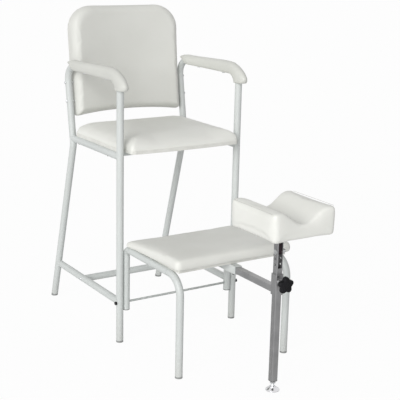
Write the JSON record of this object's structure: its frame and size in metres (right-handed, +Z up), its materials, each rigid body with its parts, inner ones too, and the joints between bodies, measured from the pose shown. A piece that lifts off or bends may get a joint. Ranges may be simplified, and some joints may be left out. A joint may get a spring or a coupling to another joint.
{
  "type": "pedicure chair",
  "caption": "Tall tubular armchair with a low padded bench fixed in front of it and a padded leg rest on a post that slides, lifts and tilts.",
  "frame": {"origin": "middle of the footprint, on the floor", "axes": "+Z up, the sitter faces -Y, left of the picture is -X"},
  "size_m": [0.5134, 1.2818, 1.1433],
  "materials": {
    "white_paint": "white powder coat, satin",
    "white_vinyl": "off-white upholstery vinyl with a fine grain",
    "grey_steel": "satin grey steel",
    "zinc_steel": "zinc plated",
    "polished_chrome": "polished",
    "black_steel": "blackened",
    "black_plastic": "moulded, fine texture",
    "dark_plastic": "moulded",
    "nylon": "natural nylon",
    "grey_plastic": "moulded",
    "white_board": "white faced board"
  },
  "bodies": {
    "chair": {"side_frame_left": "white_paint", "side_frame_right": "white_paint", "chair_leg_glides": "grey_plastic", "seat_rail_left": "white_paint", "seat_rail_right": "white_paint", "seat_cross_rails": "white_paint", "side_stretcher_left": "white_paint", "side_stretcher_right": "white_paint", "cross_brace": "white_paint", "stretcher_bolts": "zinc_steel", "seat_board": "white_board", "seat_cushion": "white_vinyl", "seat_screws": "black_steel", "back_frame": "zinc_steel", "back_panel": "white_vinyl", "back_cushion": "white_vinyl", "back_bolts": "zinc_steel", "arm_pad_left": "white_vinyl", "arm_pad_right": "white_vinyl", "arm_pad_screws": "zinc_steel", "tie_rod": "zinc_steel", "tie_rod_nuts": "black_steel", "bench_rear_leg_left": "white_paint", "bench_rear_leg_right": "white_paint", "bench_side_rail_left": "white_paint", "bench_side_rail_right": "white_paint", "bench_front_leg_left": "white_paint", "bench_front_leg_right": "white_paint", "bench_spigots": "zinc_steel", "bench_glides": "grey_plastic", "bench_tube_caps": "dark_plastic", "bench_rear_rail": "white_paint", "bench_mid_rails": "white_paint", "arm_socket": "white_paint", "arm_lock_screw": "black_steel", "bench_board": "white_board", "bench_cushion": "white_vinyl", "bench_board_screws": "zinc_steel"},
    "extension": {"extension_arm": "grey_steel", "arm_end_plug": "dark_plastic", "post_sleeve": "grey_steel", "clamp_boss": "grey_steel"},
    "clamp_tip": {"clamp_tip": "nylon"},
    "clamp_knob": {"clamp_screw": "zinc_steel", "star_knob": "black_plastic"},
    "post": {"height_post": "grey_steel", "post_end_plug": "dark_plastic", "foot_lock_nut": "zinc_steel", "pivot_bolt": "zinc_steel", "pivot_nut": "zinc_steel", "pivot_washers": "nylon"},
    "foot_pad": {"foot_pad": "polished_chrome"},
    "foot_stud": {"foot_stud": "zinc_steel"},
    "leg_rest": {"rest_stem": "grey_steel", "rest_plate": "grey_steel", "rest_board": "white_board", "leg_rest_cushion": "white_vinyl", "rest_screws": "zinc_steel"}
  },
  "joints": [
    {"name": "arm_slide", "type": "slide", "parent": "chair", "child": "extension", "axis": [0, -1, 0], "range_m": [-0.16, 0.075]},
    {"name": "post_lift", "type": "slide", "parent": "extension", "child": "post", "axis": [0, 0, 1], "range_m": [0, 0.12]},
    {"name": "rest_tilt", "type": "hinge", "parent": "post", "child": "leg_rest", "pos_m": [0, -0.50891, 0.462], "axis": [1, 0, 0], "range_deg": [0, 30]},
    {"name": "clamp_feed", "type": "slide", "parent": "extension", "child": "clamp_tip", "axis": [0, -1, 0], "range_m": [0, 0.0015]},
    {"name": "knob_turn", "type": "hinge", "parent": "clamp_tip", "child": "clamp_knob", "pos_m": [0, -0.50891, 0.366], "axis": [0, -1, 0], "range_deg": [0, 360]},
    {"name": "foot_feed", "type": "slide", "parent": "post", "child": "foot_pad", "axis": [0, 0, 1], "range_m": [0, 0.006]},
    {"name": "foot_turn", "type": "hinge", "parent": "foot_pad", "child": "foot_stud", "pos_m": [0, -0.50891, 0.02], "axis": [0, 0, 1], "range_deg": [0, 1440]}
  ],
  "couplings": [
    {"joint": "knob_turn", "follows": "clamp_feed", "rad_per_m": 4188.8},
    {"joint": "foot_turn", "follows": "foot_feed", "rad_per_m": 4188.8}
  ]
}
